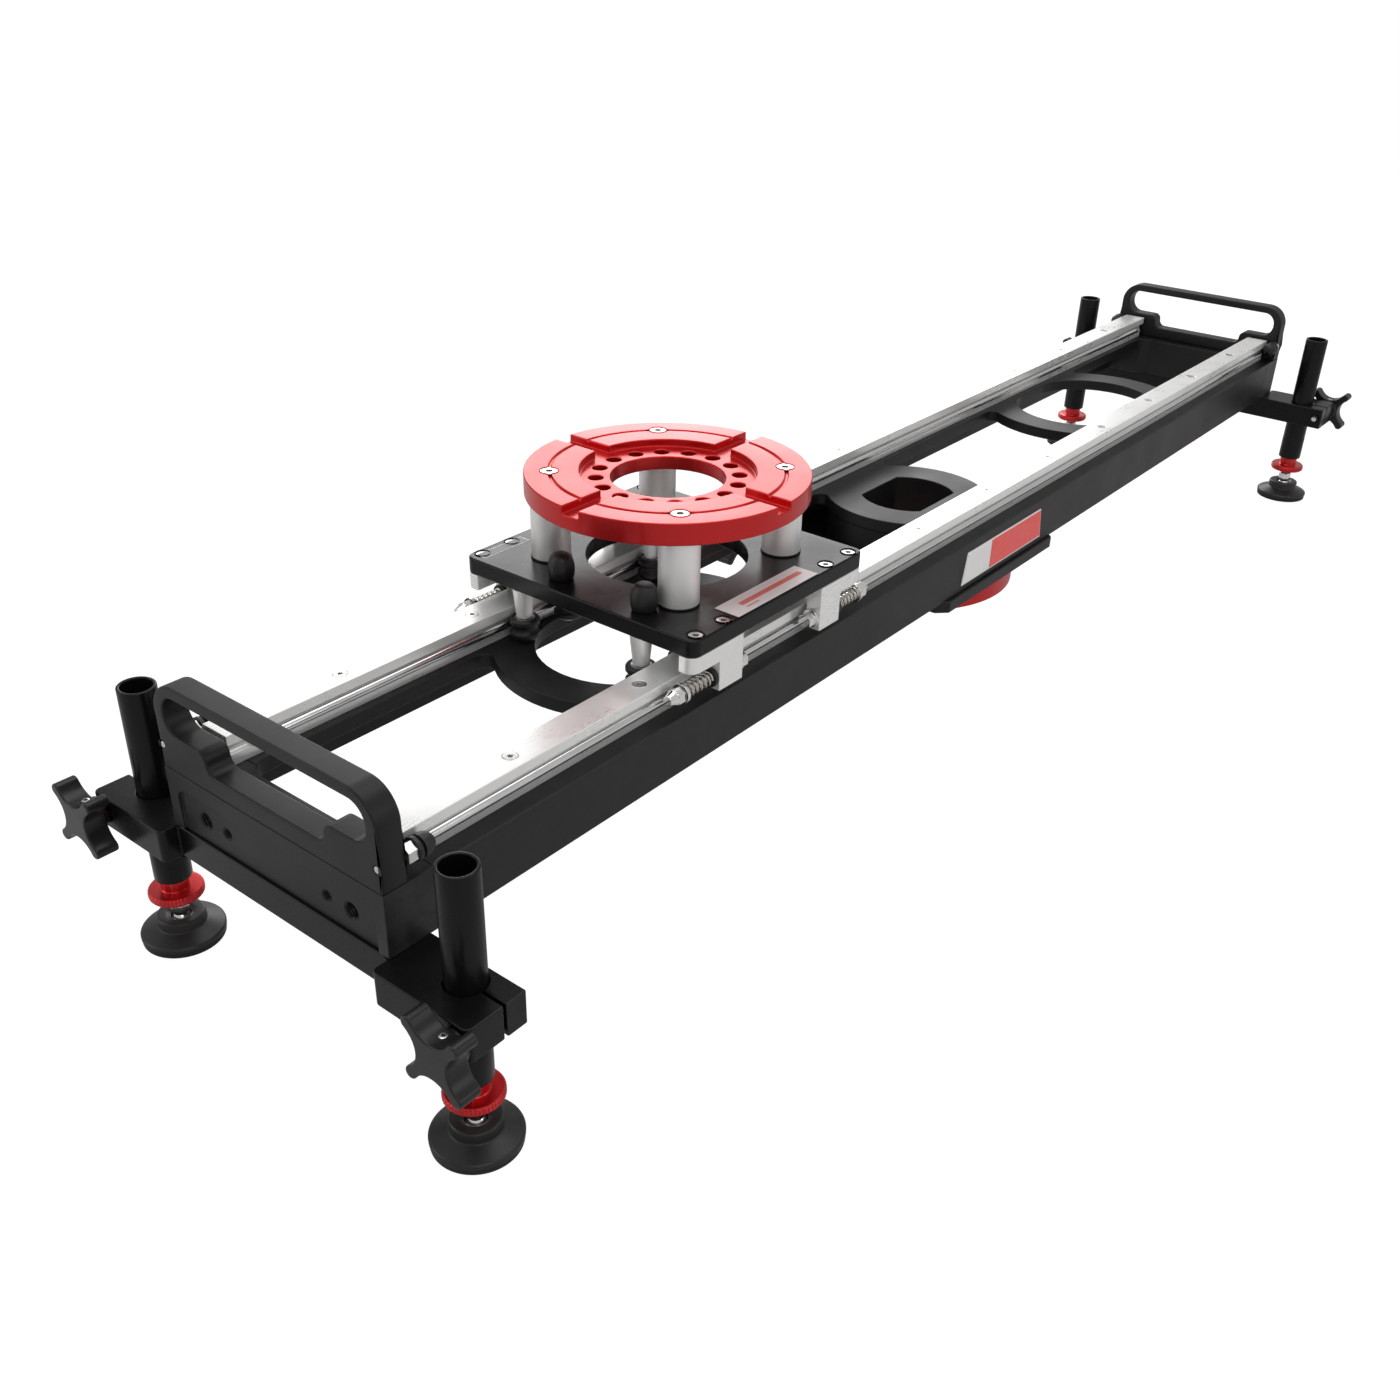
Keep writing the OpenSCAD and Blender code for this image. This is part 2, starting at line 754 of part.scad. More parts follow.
module roller_spacers() {
    color("#d4d3cf") at_carriage() roller_places() difference() {
        translate([0, 0, roller_low + roller_t + roller_gap]) {
            cylinder(r = 5.3, h = 2);
            translate([0, 0, 2]) cylinder(r1 = 5.3, r2 = 7, h = plate_z - roller_low - roller_t - roller_gap - 2);
        }
        translate([0, 0, roller_low]) cylinder(r = roller_bolt_r, h = 60);
    }
}

module roller_bolts() {
    color("#a8a8a8") at_carriage() roller_places() {
        translate([0, 0, roller_low - roller_gap - 1.6]) cylinder(r = 5, h = 1.6);
        translate([0, 0, roller_low - roller_gap]) cylinder(r = roller_bolt_r, h = plate_z - roller_low + 7);
    }
}

// A grooved roller tyre on its bearing sleeve.
module roller(i) {
    s = i < 4 ? -1 : 1;
    t = i % 4 < 2 ? -1 : 1;
    x = roller_x[i % 2];
    groove_at = rail_y - rod_off - roller_y;
    translate([carriage_x + s * x, t * roller_y, roller_low]) {
        color("#161617") difference() {
            cylinder(r = roller_r, h = roller_t);
            translate([0, 0, -1]) cylinder(r = roller_bearing_r, h = roller_t + 2);
            translate([0, 0, roller_t / 2]) rotate_extrude() translate([groove_at, 0]) circle(r = rod_r + 0.3);
        }
        color("#9b9b9b") difference() {
            cylinder(r = roller_bearing_r, h = roller_t);
            translate([0, 0, -1]) cylinder(r = roller_bolt_r + running, h = roller_t + 2);
        }
    }
}

// ---- Spring buffers at both ends of the carriage

module at_buffer(s, t) {
    at_carriage() mirror([s < 0 ? 1 : 0, 0, 0]) along_x(0, t * buffer_y, buffer_z) children();
}

module buffer_bolt(s, t) {
    color("#b9b9b9") at_buffer(s, t) {
        translate([0, 0, leg_in - 7]) cylinder(r = bolt_r, h = bolt_tip - leg_in + 2);
        translate([0, 0, leg_in - 2.3]) cylinder(r = 6, h = 2);
        translate([0, 0, leg_in - 8.3]) cylinder(r = 5.2, h = 6, $fn = 6);
        translate([0, 0, spring_high]) cylinder(r = 6.3, h = 2.5);
        translate([0, 0, spring_high + 2.5]) cylinder(r = 5.6, h = 6, $fn = 6);
        translate([0, 0, spring_high + 8.5]) cylinder(r1 = 4.8, r2 = 3, h = bolt_tip - spring_high - 8.5);
    }
}

// A coil whose section is a short arc of a ring, twisted along the spring's axis.
module spring_coil() {
    length = spring_high - spring_low - 0.4;
    arc = 360 * spring_wire * spring_turns / length;
    in_r = spring_r - spring_wire;
    steps = 2;
    linear_extrude(length, twist = -360 * spring_turns, slices = 10 * spring_turns, segments = 1) polygon(concat(
        [for (i = [0 : steps]) spring_r * [cos(arc * i / steps), sin(arc * i / steps)]],
        [for (i = [steps : -1 : 0]) in_r * [cos(arc * i / steps), sin(arc * i / steps)]]
    ));
}

// The springs, each with the washer it stands on.
module buffer_springs() {
    color("#bcb7ad") for (s = sides, t = sides) at_buffer(s, t) {
        translate([0, 0, spring_low + 0.2]) spring_coil();
        translate([0, 0, leg_out + 0.1]) difference() {
            cylinder(r = 6.3, h = 2.6);
            translate([0, 0, -1]) cylinder(r = bolt_r + running, h = 5);
        }
    }
}

deck();
deck_walls();
end_block_left();
end_block_right();
handle_left();
handle_right();
rail_front();
rail_rear();
guide_rods();
end_bumpers();
bumper_studs();
outrigger_left();
outrigger_right();
base_plate();
frame_screws();
lower_mount();
side_badge();
lock_knob();
for (s = [0, 1], t = [0, 1]) {
    corner = str("_", end_names[s], "_", side_names[t]);
    leg_tube(sides[s], sides[t]);
    clamp_knob(sides[s], sides[t]);
    levelling_nut(sides[s], sides[t]);
    foot_stud(sides[s], sides[t]);
    foot(sides[s], sides[t]);
    buffer_bolt(sides[s], sides[t]);
}
carriage_plate();
bracket_blocks();
riser_posts();
top_mount();
carriage_screws();
rest_domes();
label_plate();
roller_spacers();
roller_bolts();
for (i = [0 : 7])
    roller(i);
buffer_springs();
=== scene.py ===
import bpy, bmesh, json, math
from mathutils import Matrix, Vector


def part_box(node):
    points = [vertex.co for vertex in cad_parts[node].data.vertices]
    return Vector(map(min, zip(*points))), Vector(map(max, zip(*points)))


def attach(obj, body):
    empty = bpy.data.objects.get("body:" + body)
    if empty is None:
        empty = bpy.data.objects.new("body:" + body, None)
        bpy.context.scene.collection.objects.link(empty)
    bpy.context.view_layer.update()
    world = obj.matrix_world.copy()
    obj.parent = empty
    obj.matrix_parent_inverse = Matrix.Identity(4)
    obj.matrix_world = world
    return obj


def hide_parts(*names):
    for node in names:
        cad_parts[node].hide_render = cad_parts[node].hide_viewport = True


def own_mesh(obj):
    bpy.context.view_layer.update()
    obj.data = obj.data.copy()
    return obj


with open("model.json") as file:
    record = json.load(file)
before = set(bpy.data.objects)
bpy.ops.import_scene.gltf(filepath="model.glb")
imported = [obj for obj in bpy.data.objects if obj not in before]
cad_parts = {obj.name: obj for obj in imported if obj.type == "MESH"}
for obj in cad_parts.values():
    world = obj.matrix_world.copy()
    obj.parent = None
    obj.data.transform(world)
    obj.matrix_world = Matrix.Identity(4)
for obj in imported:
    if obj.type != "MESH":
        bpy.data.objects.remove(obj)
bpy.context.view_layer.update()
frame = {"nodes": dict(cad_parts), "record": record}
bodies = frame["record"]["behaviour"]["bodies"]
bodyOf = {node: body for body, members in bodies.items() for node in members}
mm = 0.001
corners = [(end, side) for end in ("left", "right") for side in ("front", "rear")]
print("frame loaded:", len(frame["nodes"]), "nodes")


# ---- shader groups, each built once and placed in the finishes with its own values

def newGroup(name, inputs, outputs):
    tree = bpy.data.node_groups.new(name, "ShaderNodeTree")
    for label, kind, value in inputs:
        socket = tree.interface.new_socket(name=label, in_out="INPUT", socket_type=kind)
        socket.default_value = value
    for label, kind in outputs:
        tree.interface.new_socket(name=label, in_out="OUTPUT", socket_type=kind)
    return tree, tree.nodes.new("NodeGroupInput"), tree.nodes.new("NodeGroupOutput")


def addNode(tree, kind, **settings):
    node = tree.nodes.new(kind)
    for key, value in settings.items():
        setattr(node, key, value)
    return node


def mathNode(tree, operation, a, b):
    node = addNode(tree, "ShaderNodeMath", operation=operation)
    for socket, value in zip(node.inputs, (a, b)):
        if isinstance(value, (int, float)):
            socket.default_value = value
        else:
            tree.links.new(value, socket)
    return node.outputs[0]


def remap(tree, value, low, high, toLow, toHigh):
    node = addNode(tree, "ShaderNodeMapRange")
    tree.links.new(value, node.inputs["Value"])
    for label, number in (("From Min", low), ("From Max", high), ("To Min", toLow), ("To Max", toHigh)):
        if isinstance(number, (int, float)):
            node.inputs[label].default_value = number
        else:
            tree.links.new(number, node.inputs[label])
    return node.outputs["Result"]


def buildGrain():  # fine blasted or cast grain with slow cloudy changes, in the piece's own coordinates
    tree, given, made = newGroup(
        "fineGrain",
        [("Scale", "NodeSocketFloat", 900.0), ("Stretch", "NodeSocketVector", (1, 1, 1)),
         ("Cloud Scale", "NodeSocketFloat", 22.0)],
        [("Height", "NodeSocketFloat"), ("Speckle", "NodeSocketFloat"), ("Cloud", "NodeSocketFloat")])
    place = addNode(tree, "ShaderNodeTexCoord")
    stretch = addNode(tree, "ShaderNodeVectorMath", operation="MULTIPLY")
    tree.links.new(place.outputs["Object"], stretch.inputs[0])
    tree.links.new(given.outputs["Stretch"], stretch.inputs[1])
    fine = addNode(tree, "ShaderNodeTexNoise")
    fine.inputs["Detail"].default_value = 3.0
    tree.links.new(stretch.outputs[0], fine.inputs["Vector"])
    tree.links.new(given.outputs["Scale"], fine.inputs["Scale"])
    cloud = addNode(tree, "ShaderNodeTexNoise")
    cloud.inputs["Detail"].default_value = 4.0
    tree.links.new(place.outputs["Object"], cloud.inputs["Vector"])
    tree.links.new(given.outputs["Cloud Scale"], cloud.inputs["Scale"])
    tree.links.new(fine.outputs["Fac"], made.inputs["Height"])
    tree.links.new(remap(tree, fine.outputs["Fac"], 0.35, 0.65, 0.0, 1.0), made.inputs["Speckle"])
    tree.links.new(remap(tree, cloud.outputs["Fac"], 0.3, 0.7, 0.0, 1.0), made.inputs["Cloud"])
    return tree


def buildEdgeWearAndHighlight():  # rubbed outer edges, partly real wear and partly a painted highlight along the edges, broken up so that they never run evenly
    tree, given, made = newGroup(
        "rubbedAndLitEdges",
        [("Start", "NodeSocketFloat", 0.52), ("End", "NodeSocketFloat", 0.62),
         ("Breakup", "NodeSocketFloat", 140.0)],
        [("Mask", "NodeSocketFloat")])
    shape = addNode(tree, "ShaderNodeNewGeometry")
    place = addNode(tree, "ShaderNodeTexCoord")
    patches = addNode(tree, "ShaderNodeTexNoise")
    patches.inputs["Detail"].default_value = 5.0
    tree.links.new(place.outputs["Object"], patches.inputs["Vector"])
    tree.links.new(given.outputs["Breakup"], patches.inputs["Scale"])
    edge = remap(tree, shape.outputs["Pointiness"], given.outputs["Start"], given.outputs["End"], 0.0, 1.0)
    broken = remap(tree, patches.outputs["Fac"], 0.3, 0.62, 0.25, 1.0)
    tree.links.new(mathNode(tree, "MULTIPLY", edge, broken), made.inputs["Mask"])
    return tree


def buildDust():  # a light film where a surface faces up
    tree, given, made = newGroup(
        "settledDust",
        [("Scale", "NodeSocketFloat", 60.0), ("Amount", "NodeSocketFloat", 0.2)],
        [("Mask", "NodeSocketFloat")])
    shape = addNode(tree, "ShaderNodeNewGeometry")
    split = addNode(tree, "ShaderNodeSeparateXYZ")
    tree.links.new(shape.outputs["Normal"], split.inputs[0])
    place = addNode(tree, "ShaderNodeTexCoord")
    drift = addNode(tree, "ShaderNodeTexNoise")
    drift.inputs["Detail"].default_value = 6.0
    tree.links.new(place.outputs["Object"], drift.inputs["Vector"])
    tree.links.new(given.outputs["Scale"], drift.inputs["Scale"])
    facing = remap(tree, split.outputs["Z"], 0.5, 1.0, 0.0, 1.0)
    patchy = remap(tree, drift.outputs["Fac"], 0.35, 0.7, 0.0, 1.0)
    settled = mathNode(tree, "MULTIPLY", facing, patchy)
    amount = mathNode(tree, "MULTIPLY", settled, given.outputs["Amount"])
    tree.links.new(amount, made.inputs["Mask"])
    return tree


grainGroup, wearAndHighlightGroup, dustGroup = buildGrain(), buildEdgeWearAndHighlight(), buildDust()


def placeGroup(tree, group, **values):
    node = addNode(tree, "ShaderNodeGroup", node_tree=group)
    for key, value in values.items():
        node.inputs[key.replace("_", " ")].default_value = value
    return node


def mixColour(tree, mask, first, second):
    node = addNode(tree, "ShaderNodeMix", data_type="RGBA")
    tree.links.new(mask, node.inputs["Factor"])
    for socket, value in ((node.inputs[6], first), (node.inputs[7], second)):
        if isinstance(value, tuple):
            socket.default_value = (*value, 1)
        else:
            tree.links.new(value, socket)
    return node.outputs[2]


wearAndHighlightFrom, wearAndHighlightTo = 0.53, 0.66  # how sharp an edge is before it shows wear and a painted edge highlight, and where it shows them fully
dustColour = (0.42, 0.4, 0.38)


def makeFinish(name, look):
    material = bpy.data.materials.new(name)
    material.use_nodes = True
    tree = material.node_tree
    shader = tree.nodes["Principled BSDF"]
    shader.inputs["Metallic"].default_value = look.get("metallic", 0.0)
    shader.inputs["Specular IOR Level"].default_value = look.get("specular", 0.5)
    shader.inputs["Coat Weight"].default_value = look.get("coat", 0.0)
    shader.inputs["Coat Roughness"].default_value = 0.12
    shader.inputs["Anisotropic"].default_value = look.get("anisotropic", 0.0)
    grain = placeGroup(tree, grainGroup, Scale=look["grain"], Stretch=look.get("stretch", (1, 1, 1)))
    wearAndHighlight = placeGroup(tree, wearAndHighlightGroup, Start=wearAndHighlightFrom, End=wearAndHighlightTo)
    dust = placeGroup(tree, dustGroup, Amount=look["dust"])
    base = mixColour(tree, grain.outputs["Cloud"], look["colour"], look["second"])
    speckled = mathNode(tree, "MULTIPLY", grain.outputs["Speckle"], look["speckle"])
    specks = mixColour(tree, speckled, base, look["wornAndLit"])
    # sharp edges are lightened towards the worn colour: partly real wear, partly a painted highlight where
    # edges catch light
    rubbedAndLit = mathNode(tree, "MULTIPLY", wearAndHighlight.outputs["Mask"], look["wearAndHighlight"])
    wornAndLit = mixColour(tree, rubbedAndLit, specks, look["wornAndLit"])
    dusty = mixColour(tree, dust.outputs["Mask"], wornAndLit, dustColour)
    tree.links.new(dusty, shader.inputs["Base Color"])
    if look.get("turned"):
        spin = addNode(tree, "ShaderNodeTangent", direction_type="RADIAL", axis="Z")
        tree.links.new(spin.outputs[0], shader.inputs["Tangent"])
    low, high = look["rough"]
    rough = remap(tree, grain.outputs["Cloud"], 0.0, 1.0, low, high)
    uneven = mathNode(tree, "MULTIPLY", grain.outputs["Speckle"], 0.04)
    tree.links.new(mathNode(tree, "ADD", rough, uneven), shader.inputs["Roughness"])
    bump = addNode(tree, "ShaderNodeBump")
    bump.inputs["Strength"].default_value = look["bump"]
    bump.inputs["Distance"].default_value = look.get("depth", 0.0001)
    tree.links.new(grain.outputs["Height"], bump.inputs["Height"])
    tree.links.new(bump.outputs["Normal"], shader.inputs["Normal"])
    return material


# each finish's worn colour and wear amount also set how bright its painted edge highlight is
finishes = {
    "black_anodised": dict(
        colour=(0.007, 0.0065, 0.007), second=(0.011, 0.0103, 0.0105), wornAndLit=(0.10, 0.097, 0.095),
        grain=2600, rough=(0.36, 0.46), specular=0.32, wearAndHighlight=0.25, speckle=0.015, dust=0.012, bump=0.2),
    "black_gloss": dict(
        colour=(0.0035, 0.0033, 0.0035), second=(0.006, 0.0055, 0.0058), wornAndLit=(0.12, 0.117, 0.115),
        grain=2600, rough=(0.2, 0.3), specular=0.22, wearAndHighlight=0.3, speckle=0.01, dust=0.008, bump=0.15),
    "clear_anodised": dict(
        colour=(0.92, 0.915, 0.905), second=(0.95, 0.945, 0.94), wornAndLit=(0.98, 0.98, 0.97), metallic=0.5,
        grain=1500, stretch=(0.06, 1, 1), rough=(0.24, 0.34), wearAndHighlight=0.5, speckle=0.25, dust=0.0,
        bump=0.25, depth=0.00006),
    "turned_silver": dict(
        colour=(0.93, 0.925, 0.91), second=(0.96, 0.955, 0.95), wornAndLit=(0.98, 0.98, 0.97), metallic=0.65,
        grain=1400, stretch=(1, 1, 1), rough=(0.38, 0.48), wearAndHighlight=0.4, speckle=0.2, dust=0.0, bump=0.25,
        depth=0.00006),
    "red_anodised": dict(
        colour=(0.58, 0.006, 0.010), second=(0.64, 0.009, 0.013), wornAndLit=(0.85, 0.16, 0.15),
        metallic=0.8, grain=1800, rough=(0.3, 0.38), coat=0.5, wearAndHighlight=0.5, speckle=0.04, dust=0.01,
        bump=0.2),
    "red_turned": dict(
        colour=(0.58, 0.010, 0.012), second=(0.64, 0.016, 0.018), wornAndLit=(0.85, 0.18, 0.17),
        metallic=0.85, grain=1800, rough=(0.28, 0.36), coat=0.3, anisotropic=0.55, turned=True,
        wearAndHighlight=0.5, speckle=0.05, dust=0.01, bump=0.2),
    "ground_steel": dict(
        colour=(0.72, 0.72, 0.72), second=(0.80, 0.80, 0.80), wornAndLit=(0.95, 0.95, 0.95), metallic=1.0,
        grain=1200, stretch=(0.05, 1, 1), rough=(0.10, 0.18), wearAndHighlight=0.3, speckle=0.15, dust=0.0,
        bump=0.15, depth=0.00005),
    "steel_screws": dict(
        colour=(0.62, 0.61, 0.59), second=(0.74, 0.73, 0.71), wornAndLit=(0.92, 0.91, 0.9), metallic=1.0,
        grain=2400, rough=(0.18, 0.3), wearAndHighlight=0.6, speckle=0.2, dust=0.0, bump=0.2),
    "chrome": dict(
        colour=(0.86, 0.85, 0.83), second=(0.92, 0.91, 0.9), wornAndLit=(0.97, 0.97, 0.97), metallic=1.0,
        grain=1600, rough=(0.05, 0.12), wearAndHighlight=0.2, speckle=0.1, dust=0.0, bump=0.08, depth=0.00005),
    "spring_steel": dict(
        colour=(0.58, 0.55, 0.5), second=(0.7, 0.67, 0.62), wornAndLit=(0.9, 0.88, 0.85), metallic=1.0,
        grain=1800, rough=(0.16, 0.28), wearAndHighlight=0.4, speckle=0.2, dust=0.0, bump=0.15),
    "black_rubber": dict(
        colour=(0.005, 0.005, 0.0053), second=(0.009, 0.009, 0.0093), wornAndLit=(0.07, 0.07, 0.07),
        grain=1900, rough=(0.38, 0.5), wearAndHighlight=0.3, speckle=0.05, dust=0.02, bump=0.35, depth=0.00012),
    "black_foot": dict(
        colour=(0.005, 0.005, 0.0052), second=(0.009, 0.0085, 0.009), wornAndLit=(0.12, 0.115, 0.11),
        grain=1700, rough=(0.32, 0.42), wearAndHighlight=0.4, speckle=0.04, dust=0.015, bump=0.25),
    "black_plastic": dict(
        specular=0.4, colour=(0.005, 0.005, 0.005), second=(0.008, 0.008, 0.008),
        wornAndLit=(0.12, 0.12, 0.12), grain=1500, rough=(0.26, 0.36), wearAndHighlight=0.5, speckle=0.04, dust=0.01,
        bump=0.3),
    "badge_red": dict(
        colour=(0.93, 0.05, 0.043), second=(0.96, 0.06, 0.05), wornAndLit=(0.85, 0.4, 0.38), grain=1300,
        stretch=(0.1, 1, 1), rough=(0.34, 0.42), metallic=0.0, wearAndHighlight=0.3, speckle=0.15, dust=0.02,
        bump=0.1),
    "label_grey": dict(
        colour=(0.74, 0.68, 0.68), second=(0.78, 0.72, 0.72), wornAndLit=(0.8, 0.78, 0.78), grain=1400,
        rough=(0.4, 0.5), wearAndHighlight=0.3, speckle=0.1, dust=0.02, bump=0.08),
    "badge_silver": dict(
        colour=(0.90, 0.89, 0.88), second=(0.94, 0.93, 0.92), wornAndLit=(0.97, 0.97, 0.97), metallic=0.2,
        grain=1300, stretch=(0.05, 1, 1), rough=(0.3, 0.4), wearAndHighlight=0.3, speckle=0.2, dust=0.0,
        bump=0.12),
    "label_dark": dict(
        colour=(0.035, 0.034, 0.035), second=(0.045, 0.044, 0.045), wornAndLit=(0.2, 0.2, 0.2), grain=1400,
        rough=(0.3, 0.4), wearAndHighlight=0.3, speckle=0.1, dust=0.01, bump=0.08),
    "label_red": dict(
        colour=(0.62, 0.05, 0.04), second=(0.68, 0.07, 0.05), wornAndLit=(0.8, 0.4, 0.36), grain=1400,
        rough=(0.4, 0.5), wearAndHighlight=0.2, speckle=0.1, dust=0.0, bump=0.05),
}
finish = {name: makeFinish(name, look) for name, look in finishes.items()}
print("finishes made:", len(finish))


# ---- mesh helpers

def addPiece(name, mesh, finishName, body, replaced=(), smooth=38, weighted=False):
    piece = bpy.data.objects.new(name, mesh)
    bpy.context.scene.collection.objects.link(piece)
    if not mesh.materials:
        mesh.materials.append(finish[finishName])
    mesh.polygons.foreach_set("use_smooth", [True] * len(mesh.polygons))
    mesh.set_sharp_from_angle(angle=math.radians(smooth))
    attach(piece, body)
    if replaced:
        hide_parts(*replaced)
    return piece


def joinedMesh(nodes):  # one mesh for the nodes, their touching faces merged away
    parts = []
    for node in nodes:
        part = bpy.data.objects.new(node + "Part", frame["nodes"][node].data.copy())
        bpy.context.scene.collection.objects.link(part)
        parts.append(part)
    for other in parts[1:]:
        join = parts[0].modifiers.new("join", "BOOLEAN")
        join.operation, join.solver, join.object = "UNION", "EXACT", other
    graph = bpy.context.evaluated_depsgraph_get()
    graph.update()
    mesh = bpy.data.meshes.new_from_object(parts[0].evaluated_get(graph))
    for part in parts:
        bpy.data.objects.remove(part)
    return mesh


def bevelled(nodes, finishName, width, segments=3, angle=32):  # the nodes' shape with softened edges
    nodes = (nodes,) if isinstance(nodes, str) else nodes
    work = bmesh.new()
    work.from_mesh(joinedMesh(nodes) if len(nodes) > 1 else frame["nodes"][nodes[0]].data)
    bmesh.ops.remove_doubles(work, verts=work.verts, dist=2e-6)
    bmesh.ops.dissolve_limit(work, angle_limit=math.radians(0.4), verts=work.verts, edges=work.edges)
    bmesh.ops.triangulate(work, faces=[face for face in work.faces if len(face.verts) > 4])
    mesh = bpy.data.meshes.new(nodes[0] + "Body")
    work.to_mesh(mesh)
    work.free()
    mesh.materials.clear()
    mesh.materials.append(finish[finishName])
    mesh.polygons.foreach_set("material_index", [0] * len(mesh.polygons))
    mesh.polygons.foreach_set("use_smooth", [True] * len(mesh.polygons))
    piece = bpy.data.objects.new(nodes[0] + "Body", mesh)
    bpy.context.scene.collection.objects.link(piece)
    soften = piece.modifiers.new("softEdges", "BEVEL")
    soften.width = width * mm
    soften.segments = segments
    soften.limit_method = "ANGLE"
    soften.angle_limit = math.radians(angle)
    soften.use_clamp_overlap = False
    soften.loop_slide = False
    soften.miter_outer = "MITER_ARC"
    steady = piece.modifiers.new("steadyNormals", "WEIGHTED_NORMAL")
    steady.keep_sharp = True
    steady.weight = 80
    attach(piece, bodyOf[nodes[0]])
    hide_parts(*nodes)
    return piece


def roundedCorners(points, radius, closed=True, steps=3):  # eases each corner with a short arc
    eased, count = [], len(points)
    for i, (x, y) in enumerate(points):
        if not closed and i in (0, count - 1):
            eased.append((x, y))
            continue
        before, here, after = Vector(points[i - 1]), Vector((x, y)), Vector(points[(i + 1) % count])
        one, two = before - here, after - here
        reach = min(radius, one.length * 0.45, two.length * 0.45)
        start, end = here + one.normalized() * reach, here + two.normalized() * reach
        for k in range(steps + 1):
            t = k / steps
            eased.append(tuple(start * (1 - t) ** 2 + here * 2 * t * (1 - t) + end * t * t))
    return eased


def latheMesh(name, profile, steps=72, closed=True, wave=None):
    work = bmesh.new()
    rings = []
    for row, (radius, height) in enumerate(profile):
        if radius < 0.002:
            rings.append([work.verts.new((0, 0, height * mm))])
            continue
        ring = []
        for k in range(steps):
            turn = 2 * math.pi * k / steps
            reach = radius + (wave(row, k) if wave else 0)
            spot = (reach * mm * math.cos(turn), reach * mm * math.sin(turn), height * mm)
            ring.append(work.verts.new(spot))
        rings.append(ring)
    pairs = list(zip(rings, rings[1:])) + ([(rings[-1], rings[0])] if closed else [])
    for low, high in pairs:
        for k in range(steps):
            a, b = low[k % len(low)], low[(k + 1) % len(low)]
            c, d = high[(k + 1) % len(high)], high[k % len(high)]
            face = [v for i, v in enumerate((a, b, c, d)) if v not in (a, b, c, d)[:i]]
            if len(face) > 2:
                work.faces.new(face)
    bmesh.ops.recalc_face_normals(work, faces=work.faces)
    mesh = bpy.data.meshes.new(name)
    work.to_mesh(mesh)
    work.free()
    return mesh


def washerMesh(name, bore, rim, thick, ease, steps):
    return latheMesh(name, roundedCorners([(bore, 0), (rim, 0), (rim, thick), (bore, thick)], ease), steps)


def place(mesh, at, axis=(0, 0, 1)):
    turn = Vector((0, 0, 1)).rotation_difference(Vector(axis)).to_matrix().to_4x4()
    mesh.transform(Matrix.Translation(Vector(at)) @ turn)
    return mesh


def boxMiddle(node):
    low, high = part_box(node)
    return (low + high) / 2


# ---- frame: deck, ends, rails

deckLook = dict(edge=0.7, blockEdge=0.6, handleEdge=1.3, outriggerEdge=0.9, railEdge=0.45, plateEdge=1.0)
bevelled(("deck", "deck_walls"), "black_anodised", deckLook["edge"])
for end in ("left", "right"):
    bevelled(f"end_block_{end}", "black_anodised", deckLook["blockEdge"])
    bevelled(f"handle_{end}", "black_anodised", deckLook["handleEdge"])
    bevelled(f"outrigger_{end}", "black_gloss", deckLook["outriggerEdge"])
for side in ("front", "rear"):
    bevelled(f"rail_{side}", "clear_anodised", deckLook["railEdge"])
bevelled("guide_rods", "ground_steel", 0.3)
bevelled("frame_screws", "steel_screws", 0.2, 2)
bevelled("base_plate", "black_anodised", deckLook["plateEdge"])
bevelled("lower_mount", "red_turned", 0.7)
bevelled("bumper_studs", "steel_screws", 0.3, 2)
print("deck, ends and rails done")

# ---- bumpers: a flange and a rubber dome

bumperLook = dict(bore=2.1, flange=6.6, thick=2.5, groove=4.6, dome=6.2, shoulder=6.8, depth=13.2)
bumperLow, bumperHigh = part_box("end_bumpers")
studLow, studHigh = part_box("bumper_studs")
for end, side in corners:
    sx, sy = (-1 if end == "left" else 1), (-1 if side == "front" else 1)
    bore, flange, thick, groove = (bumperLook[key] for key in ("bore", "flange", "thick", "groove"))
    dome, shoulder, reach = (bumperLook[key] for key in ("dome", "shoulder", "depth"))
    ring = [(bore, 0), (flange, 0), (flange, thick), (groove, thick + 0.4),
            (groove, thick + 1.3), (dome, thick + 1.9)]
    profile = roundedCorners(ring, 0.5, False)
    for k in range(11):
        a = math.pi / 2 * k / 10
        profile.append((dome * math.cos(a), shoulder + (reach - shoulder) * math.sin(a)))
    profile += [(0, shoulder), (bore, shoulder)]
    mesh = latheMesh("bumper", profile, 48)
    faceX = (bumperLow.x if sx < 0 else bumperHigh.x)
    y = sy * (bumperHigh.y - 6.7 * mm)
    place(mesh, (faceX, y, (bumperLow.z + bumperHigh.z) / 2), (-sx, 0, 0))
    addPiece(f"bumper_{end}_{side}", mesh, "black_rubber", "frame", ("end_bumpers",))

# ---- end-face threads: bright ridges inside the accessory holes

